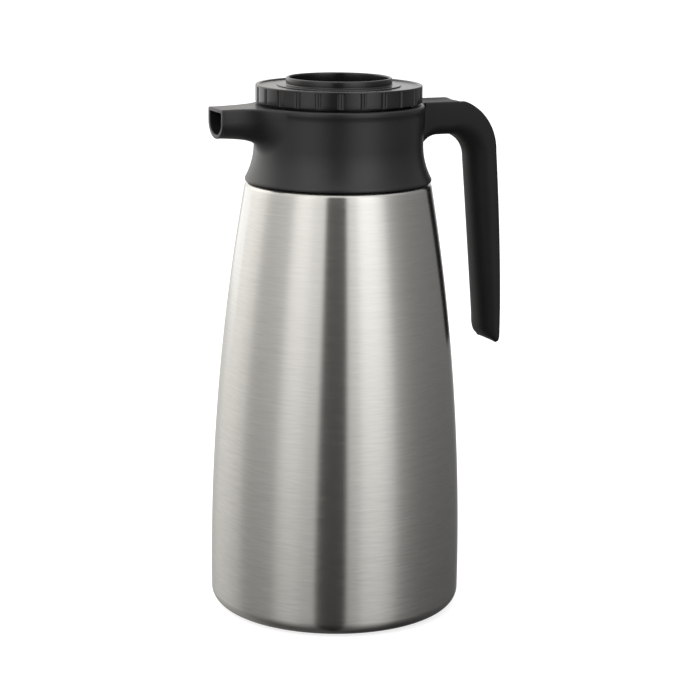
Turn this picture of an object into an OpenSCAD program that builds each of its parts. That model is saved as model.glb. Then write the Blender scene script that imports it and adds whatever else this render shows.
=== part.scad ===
// Insulated serving carafe: double-walled steel body, moulded collar with a spout,
// an open-ended handle, and a fluted bayonet lid with a brew-through funnel.
// Millimetres. It stands on z = 0, its axis is Z, the spout points to -X, the handle to +X.

/* [Steel body] */
// Largest outside radius of the body
body_radius = 66.2; // [62:0.2:70]
// Height at which the body is widest
belly_height = 20; // [14:1:30]
// Rounding of the bottom edge
base_rounding = 7.5; // [6:0.5:9]
// Height of the joint between steel and collar
joint_height = 227; // [215:1:240]
// Outside radius of the steel at that joint
joint_radius = 48; // [47:0.2:50]
// Thickness of the steel sheet
sheet = 0.7; // [0.5:0.05:0.9]
// Width of the vacuum space beside the body
vacuum_gap = 4.2; // [3:0.2:6]
// Inside radius of the flask's neck
neck_radius = 34; // [33:0.1:34.4]
// Height of the steel bottom above the surface it stands on
foot = 0.6; // [0.4:0.1:1]

/* [Collar] */
// Height of the collar above the joint
collar_height = 39.4; // [38.4:0.2:42]
// Smallest outside radius of the collar
waist_radius = 43.75; // [43.4:0.05:44.2]
// Height of that waist above the joint
waist_rise = 19; // [17:0.5:21]
// Outside radius of the collar's bottom edge
hem_radius = 48.3; // [48.1:0.1:50]
// How far the bead at the top stands out from the waist
bead_stand = 0.55; // [0.3:0.05:0.7]
// Wall of the collar's skirt
skirt_wall = 2.4; // [2:0.1:2.8]
// Radius of the bore that the lid's sleeve goes into
lid_bore = 37.5; // [37.3:0.05:37.7]

/* [Spout] */
// Distance from the body's axis to the mouth of the spout
spout_reach = 67.7; // [62:0.5:76]
// Width of the spout at its mouth
spout_width = 20; // [18:0.5:22]
// Depth of the spout at its mouth
spout_depth = 14.8; // [14:0.2:15.6]
// Wall of the spout
spout_wall = 2; // [1.8:0.1:2.3]
// Radius of the hollow curve between the spout's sides and the collar, seen from above
spout_sweep = 32; // [24:1:36]

/* [Lid] */
// Outside radius of the lid
lid_radius = 42.9; // [42.2:0.1:43.6]
// Height of the lid's fluted edge
lid_height = 8.8; // [8.4:0.2:11]
// Gap between collar and lid
lid_gap = 1.2; // [0.8:0.1:1.6]
// Number of grooves round the lid
flute_count = 24; // [12:6:36]
// Depth of a groove
flute_depth = 0.8; // [0.5:0.1:1.1]
// Radius of the cutter that makes a groove
flute_tool = 1.75; // [1.4:0.05:2.2]
// Outside radius of the raised brew ring
ring_radius = 27.3; // [25.5:0.1:28]
// Height of the brew ring above the lid's edge
ring_height = 3.6; // [2.6:0.2:5]
// Wall of the ring and of the funnel under it
funnel_wall = 1.6; // [1.4:0.1:1.9]
// Inside radius of the funnel's outlet
outlet_radius = 6.2; // [5.8:0.1:6.4]
// Turn between unlocked and closed, in degrees
lock_turn = 60; // [50:1:60]
// Half the angle that a bayonet lug covers
lug_half = 8; // [6:0.5:8]
// Half the angle of the pour window in the sleeve
window_half = 14; // [11:0.5:14]

/* [Float valve] */
// Radius of the float ball
ball_radius = 7.2; // [7:0.05:7.3]
// How far the ball can rise
ball_travel = 9; // [7:0.5:9]

/* [Handle] */
// Distance from the axis to the back of the grip at its lower end
handle_reach = 91.3; // [87.8:0.5:97.8]
// Width of the handle
handle_width = 24; // [22:0.5:26]
// Depth of the arm where it leaves the collar
arm_depth = 17.5; // [15.5:0.5:18]
// Thickness of the grip under the bend
grip_top = 12.4; // [12:0.2:14.6]
// Thickness of the grip at its lower end
grip_end = 8.8; // [8:0.1:10]
// Outer radius of the bend
bend_radius = 26; // [24:0.5:28]
// Distance from the arm's top down to the tip of the grip
handle_drop = 131; // [110:1:150]
// Wall of the handle's shell
handle_wall = 2.6; // [2.2:0.1:2.8]

/* [Fits] */
// Clearance of the sleeve in the collar's bore, on the radius
sleeve_clearance = 0.6; // [0.5:0.05:0.7]
// Clearance round the seal ring
seal_clearance = 0.3; // [0.25:0.05:0.35]
// Clearance round a lug in its track
lug_clearance = 0.4; // [0.3:0.05:0.5]
// Gap left where one piece rests on another
rest_gap = 0.05; // [0.02:0.01:0.1]

/* [Hidden] */
steel = [0.74, 0.73, 0.7];
dark_steel = [0.55, 0.55, 0.55];
black = [0.13, 0.13, 0.135];
soft_black = [0.09, 0.09, 0.095];
grey_rubber = [0.3, 0.3, 0.31];
white_plastic = [0.86, 0.86, 0.84];

// The body's side is one long arc, upright at the belly.
side_rise = joint_height - belly_height;
side_fall = body_radius - joint_radius;
side_radius = (side_rise * side_rise + side_fall * side_fall) / (2 * side_fall);
function side_x(z) =
    body_radius - side_radius + sqrt(side_radius * side_radius - pow(z - belly_height, 2));

joint_gap = 0.4;
liner_sheet = sheet - 0.1;
neck_inner = neck_radius + liner_sheet + 2.4;
neck_outer = neck_inner + sheet;
neck_top = joint_height + 18.4;
lip_top = neck_top + liner_sheet;
bead_height = joint_height + 13.8;
bead_section = 0.9;
pad_inner = 44.5;
pad_outer = 49.6;
recess = 5;

waist_height = joint_height + waist_rise;
collar_top = joint_height + collar_height;
flare_x = hem_radius - waist_radius;
flare_z = waist_rise - 1.2;
flare_radius = (flare_x * flare_x + flare_z * flare_z) / (2 * flare_x);
bead_radius = waist_radius + bead_stand;
gasket_height = 1.6;
ledge_low = lip_top + gasket_height;
ledge_top = ledge_low + 1.6;
socket_low = neck_outer + bead_section + 0.2;
socket_high = neck_outer + 0.3;
clip_low = bead_height - bead_section - 1.9;
clip_high = bead_height - bead_section - 0.1;

sleeve_outer = lid_bore - sleeve_clearance;
sleeve_inner = sleeve_outer - 3.5;
sleeve_low = ledge_top + rest_gap;
track_low = ledge_top + 6.4;
lug_low = track_low + lug_clearance;
lug_high = lug_low + 3;
track_high = lug_high + lug_clearance;
lug_radius = sleeve_outer + 2.8;
track_radius = lug_radius + lug_clearance;
lug_angles = [30, 150, 270];
window_angle = 180 + lock_turn / 2;

seal_section = 1;
seal_height = sleeve_low + 2;
seal_radius = lid_bore - seal_clearance - seal_section;
groove_radius = seal_radius - seal_section - seal_clearance;

lid_low = collar_top + lid_gap;
lid_top = lid_low + lid_height;
lid_face = lid_top - 0.7;
lid_under = lid_face - 2.2;
seat_radius = ring_radius + 6;
seat_height = lid_face - 1.1;
ring_top = lid_top + ring_height;
mouth_radius = ring_radius - funnel_wall;
cone_top = lid_low + 0.4;
cone_low = cone_top - 14;
outlet_outer = outlet_radius + 1.8;
outlet_low = ledge_low - 1.6;

cage_inner = ball_radius + 0.4;
cage_outer = cage_inner + 2.3;
cage_hole = 4.5;
ball_seat = outlet_low - sqrt(ball_radius * ball_radius - outlet_radius * outlet_radius);
ball_rest = ball_seat - ball_travel - 0.1;
cage_floor = ball_rest - sqrt(ball_radius * ball_radius - cage_hole * cage_hole) - rest_gap;
cage_low = cage_floor - 1.6;

// Spout: a U section whose plan sweeps into the collar's shoulder.
spout_half = spout_width / 2;
sweep_y = spout_half + spout_sweep;
sweep_x = -sqrt(pow(bead_radius + spout_sweep, 2) - sweep_y * sweep_y);
merge_x = sweep_x * bead_radius / (bead_radius + spout_sweep);
spout_tip_top = collar_top - 0.6;
spout_floor = spout_tip_top - spout_depth;
throat = 10;
throat_x = -(waist_radius + throat - 0.8);
function spout_side(x) =
    x < sweep_x ? spout_half
    : x < merge_x ? sweep_y - sqrt(spout_sweep * spout_sweep - pow(x - sweep_x, 2))
    : sqrt(bead_radius * bead_radius - x * x) - 0.4;
function spout_bottom(x) =
    x < throat_x ? spout_floor - 0.9 * (x + spout_reach) / (throat_x + spout_reach)
    : x < -waist_radius + 1.8
    ? spout_floor - 0.9 - throat + sqrt(throat * throat - pow(min(x - throat_x, 9.4), 2))
    : ledge_top + 1;
function spout_ceiling(x) =
    collar_top - 0.6 * max(0, -x - waist_radius) / (spout_reach - waist_radius);
spout_stations = concat(
    [-spout_reach, (throat_x - spout_reach) / 2],
    [for (t = [0, 2.4, 4.4, 6, 7.4, 8.4, 9.2]) throat_x + t],
    [1.4 - waist_radius, 3.6 - waist_radius, merge_x, merge_x + 1.5]
);
// One ring of the spout: flat top with small corners, upright sides, a round bottom.
function u_ring(x, half, high, low, corner) =
    let (mid = high - (high - low) * 0.42)
    concat(
        [for (a = [0:30:90]) [x, corner - half - corner * sin(a), high - corner + corner * cos(a)]],
        [for (a = [0:15:180]) [x, -half * cos(a), mid - (mid - low) * sin(a)]],
        [for (a = [90:-30:0]) [x, half - corner + corner * sin(a), high - corner + corner * cos(a)]]
    );

// Handle: outer and inner lines of its side view, joined station by station.
handle_root = waist_radius + 0.85;
arm_top = collar_top + 0.1;
arm_low = arm_top - arm_depth;
tip_height = arm_top - handle_drop;
bend_z = arm_top - bend_radius;
grip_fall = 4.6;
bend_x = handle_reach - grip_fall - bend_radius;
inner_bend = bend_radius - grip_top + 1.2;
inner_x = handle_reach - grip_fall - grip_top - inner_bend;
inner_z = arm_low - inner_bend;
grip_low = tip_height + 12;
function back_x(z) =
    handle_reach - grip_fall * pow(max(0, z - grip_low) / (bend_z - grip_low), 1.6);
function front_x(z) =
    let (t = (inner_z - z) / (inner_z - grip_low))
    inner_x + inner_bend + t * (handle_reach - grip_end - inner_x - inner_bend);
// Each station holds the inner point and the outer point, as [x, z] pairs.
handle_path = concat(
    [for (t = [0:0.25:1])
        [[handle_root + t * (inner_x - handle_root), arm_low],
            [handle_root + t * (bend_x - handle_root), arm_top]]],
    [for (a = [80:-10:10])
        [[inner_x + inner_bend * cos(a), inner_z + inner_bend * sin(a)],
            [bend_x + bend_radius * cos(a), bend_z + bend_radius * sin(a)]]],
    [for (t = [0:0.125:1])
        let (zi = inner_z + t * (grip_low - inner_z), zo = bend_z + t * (grip_low - bend_z))
        [[front_x(zi), zi], [back_x(zo), zo]]],
    [[[handle_reach - grip_end + 0.4, grip_low - 4], [handle_reach, grip_low - 6]],
        [[handle_reach - grip_end + 1.4, grip_low - 6.4], [handle_reach - 0.1, grip_low - 9.4]],
        [[handle_reach - grip_end + 3.4, grip_low - 8.4], [handle_reach - 0.8, grip_low - 11.3]],
        [[handle_reach - grip_end + 5, grip_low - 9.3], [handle_reach - 2, grip_low - 12]]]
);
last_station = len(handle_path) - 1;
// A point of station p, s along from its inner to its outer point, at width y.
function place(p, y, s) =
    let (d = p[1] - p[0], n = d / norm(d))
    [p[0][0] + n[0] * s, y, p[0][1] + n[1] * s];
function grip_ring(p, half) =
    let (t = norm(p[1] - p[0]), ri = min(6, t * 0.55), ro = min(1.4, t * 0.2))
    concat(
        [for (a = [0:18:90]) place(p, half - ri + ri * sin(a), ri - ri * cos(a))],
        [for (a = [0:22.5:90]) place(p, half - ro + ro * cos(a), t - ro + ro * sin(a))],
        [for (a = [90:-22.5:0]) place(p, -half + ro - ro * cos(a), t - ro + ro * sin(a))],
        [for (a = [90:-18:0]) place(p, -half + ri - ri * sin(a), ri - ri * cos(a))]
    );
cover_half = handle_width / 2 - handle_wall;
cover_depth = 2.4;
hollow_half = cover_half - 1.2;
draft = 0.12;
// Section of the cover: the handle's own rounding inside the slot, and a flat back.
function cover_ring(p, half) =
    let (t = norm(p[1] - p[0]), ri = min(6, t * 0.55), c = handle_width / 2 - ri,
        e = ri - sqrt(max(0, ri * ri - pow(half - c, 2))))
    concat(
        [for (k = [0:3]) let (y = c + (half - c) * k / 3) place(p, y, ri - sqrt(ri * ri - pow(y - c, 2)))],
        [place(p, half, cover_depth), place(p, -half, cover_depth)],
        [for (k = [3:-1:0]) let (y = c + (half - c) * k / 3) place(p, -y, ri - sqrt(ri * ri - pow(y - c, 2)))]
    );
// A slot section of station p, from s = low to s = high, with a little draft.
function slot_ring(p, half, low, high) =
    [place(p, half + draft, low), place(p, half, high), place(p, -half, high),
        place(p, -half - draft, low)];

tongue_length = 15;
tongue_half = hollow_half - 0.4;
screw_radius = 1.5;
screw_head = 2.8;
screw_places = [handle_root + 4.4, handle_root + 11.6];

// Which piece to draw

// A solid through a list of rings with the same number of points.
module loft(rings) {
    n = len(rings[0]);
    last = len(rings) - 1;
    polyhedron(
        points = [for (ring = rings) for (p = ring) p],
        faces = concat(
            [[for (i = [0:n - 1]) i]],
            [for (k = [0:last - 1]) for (i = [0:n - 1])
                let (a = k * n + i, b = k * n + (i + 1) % n)
                each [[a, a + n, b + n], [a, b + n, b]]],
            [[for (i = [n - 1:-1:0]) last * n + i]]
        )
    );
}

// A plain ring between two radii and two heights.
module band(inner, outer, low, high) {
    difference() {
        translate([0, 0, low]) cylinder(r = outer, h = high - low, $fn = 128);
        translate([0, 0, low - 1]) cylinder(r = inner, h = high - low + 2, $fn = 128);
    }
}

// Part of a ring, half_angle to each side of an angle.
module sector(inner, outer, low, high, start, sweep) {
    rotate([0, 0, start])
        rotate_extrude(angle = sweep, $fn = 128)
            translate([inner, low]) square([outer - inner, high - low]);
}

// Half section of a can whose side runs along the body's long arc, with rounded ends.
module can(inset, low, low_round, high, high_round) {
    tilt = 2.5;
    low_z = low + low_round * (1 - sin(tilt)) - 0.1;
    low_x = side_x(low_z) - inset - low_round * cos(tilt);
    high_x = side_x(high - high_round) - inset - high_round;
    difference() {
        intersection() {
            translate([body_radius - side_radius, belly_height])
                circle(r = side_radius - inset, $fn = 1440);
            translate([0, low]) square([body_radius, high - low]);
        }
        difference() {
            translate([low_x, low - 1]) square([low_round + 5, low_z - low + 1.1]);
            translate([low_x, low_z + low_round * sin(tilt)]) circle(r = low_round, $fn = 96);
        }
        difference() {
            translate([high_x, high - high_round + 0.2]) square([high_round + 5, high_round + 1]);
            translate([high_x, high - high_round]) circle(r = high_round, $fn = 96);
        }
    }
}

// Outer steel shell: long curved side, turned-in bottom, shoulder and neck with its bead.
module outer_shell() {
    top = joint_height - joint_gap;
    color(steel) rotate_extrude($fn = 128) {
        difference() {
            union() {
                can(0, foot, base_rounding, top, 3);
                translate([0, top - 6]) square([neck_outer, neck_top - top + 6]);
            }
            can(sheet, foot + sheet, base_rounding - sheet, top - sheet, 2.3);
            translate([-1, top - 7]) square([neck_inner + 1, neck_top - top + 8]);
            translate([-1, 0]) square([pad_outer + 1.4, 20]);
        }
        translate([neck_outer - 0.1, bead_height]) circle(r = bead_section, $fn = 48);
    }
}

// Inner steel flask, one vacuum gap inside the shell, with the lip that closes the neck.
module inner_flask() {
    inset = sheet + vacuum_gap;
    low = foot + recess + sheet + 4.6;
    top = joint_height - 5;
    color(dark_steel) rotate_extrude($fn = 128) difference() {
        union() {
            can(inset, low, 12, top, 5);
            translate([0, top - 8]) square([neck_radius + liner_sheet, neck_top - top + 8]);
            translate([0, neck_top]) square([neck_outer, liner_sheet]);
        }
        can(inset + liner_sheet, low + liner_sheet, 12 - liner_sheet, top - liner_sheet, 5 - liner_sheet);
        translate([-1, top - 9]) square([neck_radius + 1, lip_top - top + 10]);
    }
}

// Bottom plate: a flange on the shell's turned-in rim and a raised middle.
module base_disc() {
    flange = foot + sheet;
    color(steel) rotate_extrude($fn = 128)
        polygon([[0, foot + recess], [pad_inner - 4.4, foot + recess], [pad_inner - 2.4, flange],
            [pad_outer + 5, flange], [pad_outer + 5, flange + sheet],
            [pad_inner - 2, flange + sheet], [pad_inner - 4, foot + recess + sheet],
            [0, foot + recess + sheet]]);
}

// Bead that closes the pumping hole in the bottom plate.
module vacuum_plug() {
    color(dark_steel) translate([0, 0, foot + recess - 1.2]) cylinder(r = 4, h = 1.2, $fn = 48);
}

// Getter pill under the flask, which keeps the vacuum.
module getter() {
    color(dark_steel) translate([0, 0, foot + recess + sheet + 3.4]) cylinder(r = 9, h = 1.2, $fn = 64);
}

// Rubber ring that the carafe stands on.
module base_pad() {
    color(grey_rubber) band(pad_inner, pad_outer, 0, foot + sheet);
}

// Outside of the collar, half section: flared hem, hollow waist, rounded shoulder bead.
module collar_outline() {
    difference() {
        translate([0, joint_height]) square([hem_radius, waist_rise]);
        translate([waist_radius + flare_radius, waist_height]) circle(r = flare_radius, $fn = 360);
    }
    translate([0, joint_height]) square([waist_radius, collar_height]);
    for (z = [collar_top - 1.5, collar_top - 2.4])
        translate([bead_radius - 1.5, z]) circle(r = 1.5, $fn = 64);
    translate([0, collar_top - 2.4]) square([bead_radius, 0.9]);
    translate([0, collar_top - 1.5]) square([bead_radius - 1.5, 1.5]);
}

// Inside of the collar, half section: neck socket, clip groove, ledge, bore and hem pocket.
module collar_hollow() {
    translate([-1, joint_height - 1]) square([socket_low + 1, clip_high - joint_height + 3.4]);
    translate([-1, joint_height]) square([socket_high + 1, ledge_low - joint_height]);
    translate([0, clip_low - 0.1]) square([socket_low + 1.7, clip_high - clip_low + 0.2]);
    translate([-1, joint_height - 1]) square([socket_low + 3.4, 2.4]);
    translate([-1, ledge_low - 1]) square([neck_radius + 1.6, 4]);
    translate([-1, ledge_top]) square([lid_bore + 1, collar_height]);
    difference() {
        translate([socket_low + 4.2, joint_height - 1]) square([hem_radius, waist_rise]);
        translate([waist_radius + flare_radius, waist_height])
            circle(r = flare_radius + skirt_wall, $fn = 360);
        translate([hem_radius - skirt_wall, joint_height - 2]) square([10, waist_rise]);
    }
}

// Collar moulding with spout, handle boss and bayonet tracks.
module collar() {
    color(black) difference() {
        union() {
            rotate_extrude($fn = 128) difference() {
                collar_outline();
                collar_hollow();
            }
            loft([for (x = spout_stations)
                u_ring(x, spout_side(x), spout_ceiling(x), spout_bottom(x), 1.1)]);
            translate([waist_radius - 4, -handle_width / 2 + 0.2, arm_low + 0.3])
                cube([handle_root - waist_radius + 3.4, handle_width - 0.4, arm_depth - 0.7]);
            translate([waist_radius - 2, -tongue_half, arm_low + cover_depth])
                cube([handle_root - waist_radius + 2 + tongue_length, tongue_half * 2,
                    arm_depth - cover_depth - handle_wall]);
        }
        translate([0, 0, ledge_top]) cylinder(r = lid_bore, h = collar_height, $fn = 128);
        loft([for (x = [-spout_reach - 1, throat_x, -waist_radius, -lid_bore + 2.5])
            u_ring(x, spout_half - spout_wall, spout_ceiling(x) - spout_wall,
                spout_floor + spout_wall, 0.8)]);
        for (a = lug_angles) {
            sector(lid_bore - 1, track_radius, track_low, track_high,
                a - lock_turn - lug_half - 1, lock_turn + 3);
            sector(lid_bore - 1.3, track_radius + 0.1, track_low - 0.1, collar_top + 1,
                a - lug_half - 1, 2 * lug_half + 2);
        }
        for (x = screw_places)
            translate([x, 0, arm_low]) cylinder(r = screw_radius - 0.2, h = 11, $fn = 32);
    }
}

// Gasket between the flask's lip and the collar's ledge.
module neck_gasket() {
    color(grey_rubber) band(neck_radius + 0.8, neck_outer - 0.2, lip_top, ledge_low);
}

// Split spring clip that holds the collar under the neck's bead.
module retaining_clip() {
    color(dark_steel) difference() {
        band(neck_outer + 0.15, socket_low + 1.5, clip_low, clip_high);
        translate([0, 0, clip_low - 1])
            rotate([0, 0, 60]) translate([20, -4, 0]) cube([30, 8, 5]);
    }
}

// Rubber ring between the steel shoulder and the collar's neck tube.
module shoulder_seal() {
    color(grey_rubber)
        band(neck_outer + 0.4, socket_low + 2.2, joint_height - joint_gap, joint_height + 1.4);
}

// Handle shell: the full section swept along the bend, with a slot on its inner side.
module handle_shell() {
    color(black) difference() {
        loft([for (p = handle_path) grip_ring(p, handle_width / 2)]);
        loft(concat(
            [[for (q = slot_ring(handle_path[0], cover_half, -1.7, cover_depth)) q - [1, 0, 0]]],
            [for (k = [1:last_station - 2]) slot_ring(handle_path[k], cover_half, -1.7, cover_depth)]
        ));
        loft(concat(
            [[for (q = slot_ring(handle_path[0], hollow_half, 1.6, arm_depth - handle_wall))
                q - [1, 0, 0]]],
            [for (k = [1:last_station - 5])
                slot_ring(handle_path[k], hollow_half, 1.6,
                    norm(handle_path[k][1] - handle_path[k][0]) - handle_wall)]
        ));
    }
}

// Cover strip that closes the slot on the inner side of the handle.
module handle_cover() {
    color(soft_black) difference() {
        loft([for (k = [0:last_station - 2]) cover_ring(handle_path[k], cover_half - 0.15)]);
        for (x = screw_places) {
            translate([x, 0, arm_low - 1]) cylinder(r = screw_radius + 0.15, h = 6, $fn = 32);
            translate([x, 0, arm_low - 1]) cylinder(r = screw_head + 0.2, h = 2, $fn = 32);
        }
    }
}

// Screw from under the arm into the collar's tongue.
module arm_screw(x) {
    color(dark_steel) translate([x, 0, arm_low]) {
        difference() {
            translate([0, 0, -0.4]) cylinder(r = screw_head, h = 1.4, $fn = 32);
            for (a = [0, 90]) rotate([0, 0, a])
                translate([-1.6, -0.4, -1]) cube([3.2, 0.8, 1.4]);
        }
        cylinder(r = screw_radius - 0.2, h = 10, $fn = 32);
    }
}

module screw_front() {
    arm_screw(screw_places[0]);
}

module screw_back() {
    arm_screw(screw_places[1]);
}

// Fluted lid cap with its raised rim and the seat for the funnel.
module lid_cap() {
    skirt = lid_radius - 2.4;
    color(black) difference() {
        rotate_extrude($fn = 128)
            polygon([[seat_radius - 3.1, lid_under], [skirt, lid_under], [skirt, lid_low],
                [lid_radius - 0.3, lid_low], [lid_radius, lid_low + 0.3], [lid_radius, lid_top - 0.6],
                [lid_radius - 0.6, lid_top], [lid_radius - 2, lid_top], [lid_radius - 2.5, lid_face],
                [seat_radius + 0.1, lid_face], [seat_radius + 0.1, seat_height],
                [seat_radius - 3.1, seat_height]]);
        for (k = [0:flute_count - 1])
            rotate([0, 0, (k + 0.5) * 360 / flute_count])
                translate([lid_radius + flute_tool - flute_depth, 0, lid_low - 1])
                    cylinder(r = flute_tool, h = lid_height + 0.1, $fn = 32);
    }
}

// Funnel that the coffee is brewed through: raised ring, flange, well, cone and outlet.
module brew_funnel() {
    lip = funnel_wall / 2;
    color(black) rotate_extrude($fn = 128) difference() {
        polygon([[mouth_radius, cone_top], [mouth_radius, ring_top],
            [ring_radius, ring_top], [ring_radius, lid_face + 1.1],
            [ring_radius + 0.5, lid_face + 0.6], [seat_radius - 0.3, lid_face + 0.6],
            [seat_radius, lid_face + 0.3], [seat_radius, seat_height],
            [ring_radius, seat_height], [ring_radius, cone_top - 0.8],
            [outlet_outer, cone_low - 1.5], [outlet_outer, outlet_low],
            [outlet_radius, outlet_low], [outlet_radius, cone_low]]);
        difference() {
            translate([mouth_radius - 1, ring_top - lip]) square([funnel_wall + 2, lip + 1]);
            translate([ring_radius - lip, ring_top - lip]) circle(r = lip, $fn = 32);
        }
    }
}

// Sleeve of the lid: tube with seal groove, pour window, three lugs and a welding flange.
module stopper_sleeve() {
    color(black) difference() {
        union() {
            band(sleeve_inner, sleeve_outer, sleeve_low, lid_under);
            band(sleeve_inner, lid_radius - 3.4, lid_under - 2, lid_under);
            for (a = lug_angles)
                sector(sleeve_outer - 1, lug_radius, lug_low, lug_high, a - lug_half, 2 * lug_half);
        }
        band(groove_radius, sleeve_outer + 1, seal_height - seal_section - seal_clearance,
            seal_height + seal_section + seal_clearance);
        sector(sleeve_inner - 1, sleeve_outer + 1, seal_height + 2.6, lid_low - 3,
            window_angle - window_half, 2 * window_half);
    }
}

// Flat seal between the funnel's well and the sleeve.
module funnel_seal() {
    color(grey_rubber) band(ring_radius + 0.1, sleeve_inner - 0.1, lid_under - 1.6, lid_under);
}

// Cage under the funnel's outlet that holds the float ball.
module valve_cage() {
    color(white_plastic) difference() {
        translate([0, 0, cage_low]) cylinder(r = cage_outer, h = outlet_low + 5 - cage_low, $fn = 64);
        translate([0, 0, cage_floor]) cylinder(r = cage_inner, h = 60, $fn = 64);
        translate([0, 0, outlet_low]) cylinder(r = outlet_outer + 0.05, h = 60, $fn = 64);
        translate([0, 0, cage_low - 1]) cylinder(r = cage_hole, h = 10, $fn = 48);
        for (a = [0, 90]) rotate([0, 0, a])
            translate([-20, -2.5, cage_floor + 2]) cube([40, 5, outlet_low - cage_floor - 5]);
    }
}

// Seal ring in the sleeve's groove.
module sleeve_ring() {
    color(grey_rubber) rotate_extrude($fn = 128)
        translate([seal_radius, seal_height]) circle(r = seal_section, $fn = 32);
}

// Ball that floats up and closes the outlet when the carafe is full.
module float_ball() {
    color(white_plastic) translate([0, 0, ball_rest]) sphere(r = ball_radius, $fn = 64);
}

outer_shell();
inner_flask();
base_disc();
vacuum_plug();
getter();
base_pad();
collar();
neck_gasket();
retaining_clip();
shoulder_seal();
handle_shell();
handle_cover();
screw_front();
screw_back();
lid_cap();
brew_funnel();
stopper_sleeve();
funnel_seal();
valve_cage();
sleeve_ring();
float_ball();
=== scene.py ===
import math
from collections import namedtuple
from functools import partial

import bmesh
import bpy
from mathutils import Matrix, Vector


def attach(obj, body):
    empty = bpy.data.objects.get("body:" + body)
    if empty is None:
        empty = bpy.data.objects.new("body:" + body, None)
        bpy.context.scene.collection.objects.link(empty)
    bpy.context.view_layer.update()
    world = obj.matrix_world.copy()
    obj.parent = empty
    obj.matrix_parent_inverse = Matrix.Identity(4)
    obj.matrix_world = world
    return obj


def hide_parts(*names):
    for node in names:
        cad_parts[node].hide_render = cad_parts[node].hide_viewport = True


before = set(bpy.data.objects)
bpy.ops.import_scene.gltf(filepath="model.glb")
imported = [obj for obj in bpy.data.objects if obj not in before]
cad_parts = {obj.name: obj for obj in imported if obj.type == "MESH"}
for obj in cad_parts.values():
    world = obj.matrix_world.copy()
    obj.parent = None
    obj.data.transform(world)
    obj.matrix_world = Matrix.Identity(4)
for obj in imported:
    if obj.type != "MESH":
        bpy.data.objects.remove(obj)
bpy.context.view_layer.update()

mm = 0.001
print("carafe: frame loaded")


# Points on an arc in the X-Z plane, in degrees.
def arcPoints(centreX, centreZ, radius, start, end, steps):
    angles = [math.radians(start + (end - start) * k / steps) for k in range(steps + 1)]
    return [(centreX + radius * math.cos(a), centreZ + radius * math.sin(a)) for a in angles]


# Splits long straight runs of a profile, so that no face gets too long.
def denser(points, longest):
    result = [points[0]]
    for a, b in zip(points, points[1:]):
        pieces = max(1, math.ceil(math.dist(a, b) / longest))
        for k in range(1, pieces + 1):
            result.append(tuple(p + (q - p) * k / pieces for p, q in zip(a, b)))
    return result


# An object for a mesh, a lamp or a camera.
def addObject(name, data):
    piece = bpy.data.objects.new(name, data)
    bpy.context.scene.collection.objects.link(piece)
    return piece


# Faces out, doubles gone, everything smooth but the edges sharper than the limit.
def settle(piece, limit, merge=0.0):
    bm = bmesh.new()
    bm.from_mesh(piece.data)
    if merge:
        bmesh.ops.remove_doubles(bm, verts=bm.verts, dist=merge)
    bmesh.ops.dissolve_degenerate(bm, dist=1e-7, edges=bm.edges)
    bmesh.ops.recalc_face_normals(bm, faces=bm.faces)
    for edge in bm.edges:
        sharp = len(edge.link_faces) != 2 or edge.calc_face_angle(0) > math.radians(limit)
        edge.smooth = not sharp
    for face in bm.faces:
        face.smooth = True
    bm.to_mesh(piece.data)
    bm.free()


def bakeModifiers(piece):
    bpy.context.view_layer.update()
    solved = piece.evaluated_get(bpy.context.evaluated_depsgraph_get())
    mesh = bpy.data.meshes.new_from_object(solved)
    piece.modifiers.clear()
    old = piece.data
    piece.data = mesh
    mesh.name = piece.name
    bpy.data.meshes.remove(old)


# A closed solid through rings of points in millimetres, pointed at the end where a tip is given.
def loftPiece(name, rings, tip=None):
    bm = bmesh.new()
    loops = [[bm.verts.new(Vector(p) * mm) for p in ring] for ring in rings]
    for lower, upper in zip(loops, loops[1:]):
        for k in range(len(lower)):
            n = (k + 1) % len(lower)
            bm.faces.new((lower[k], lower[n], upper[n], upper[k]))
    bm.faces.new(loops[0])
    if tip:
        point = bm.verts.new(Vector(tip) * mm)
        for k in range(len(loops[-1])):
            bm.faces.new((loops[-1][k - 1], loops[-1][k], point))
    else:
        bm.faces.new(loops[-1])
    bmesh.ops.recalc_face_normals(bm, faces=bm.faces)
    mesh = bpy.data.meshes.new(name)
    bm.to_mesh(mesh)
    bm.free()
    return addObject(name, mesh)


def combine(piece, tool, operation):
    step = piece.modifiers.new("combine", "BOOLEAN")
    step.operation, step.solver, step.object = operation, "EXACT", tool
    bakeModifiers(piece)
    bpy.data.objects.remove(tool)


def feed(tree, socket, value):
    if isinstance(value, (int, float)):
        socket.default_value = value
    else:
        tree.links.new(value, socket)


# A math node. Each value is a number or another node's output.
def mathNode(tree, operation, *values):
    node = tree.nodes.new("ShaderNodeMath")
    node.operation = operation
    for socket, value in zip(node.inputs, values):
        feed(tree, socket, value)
    return node.outputs[0]


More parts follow.
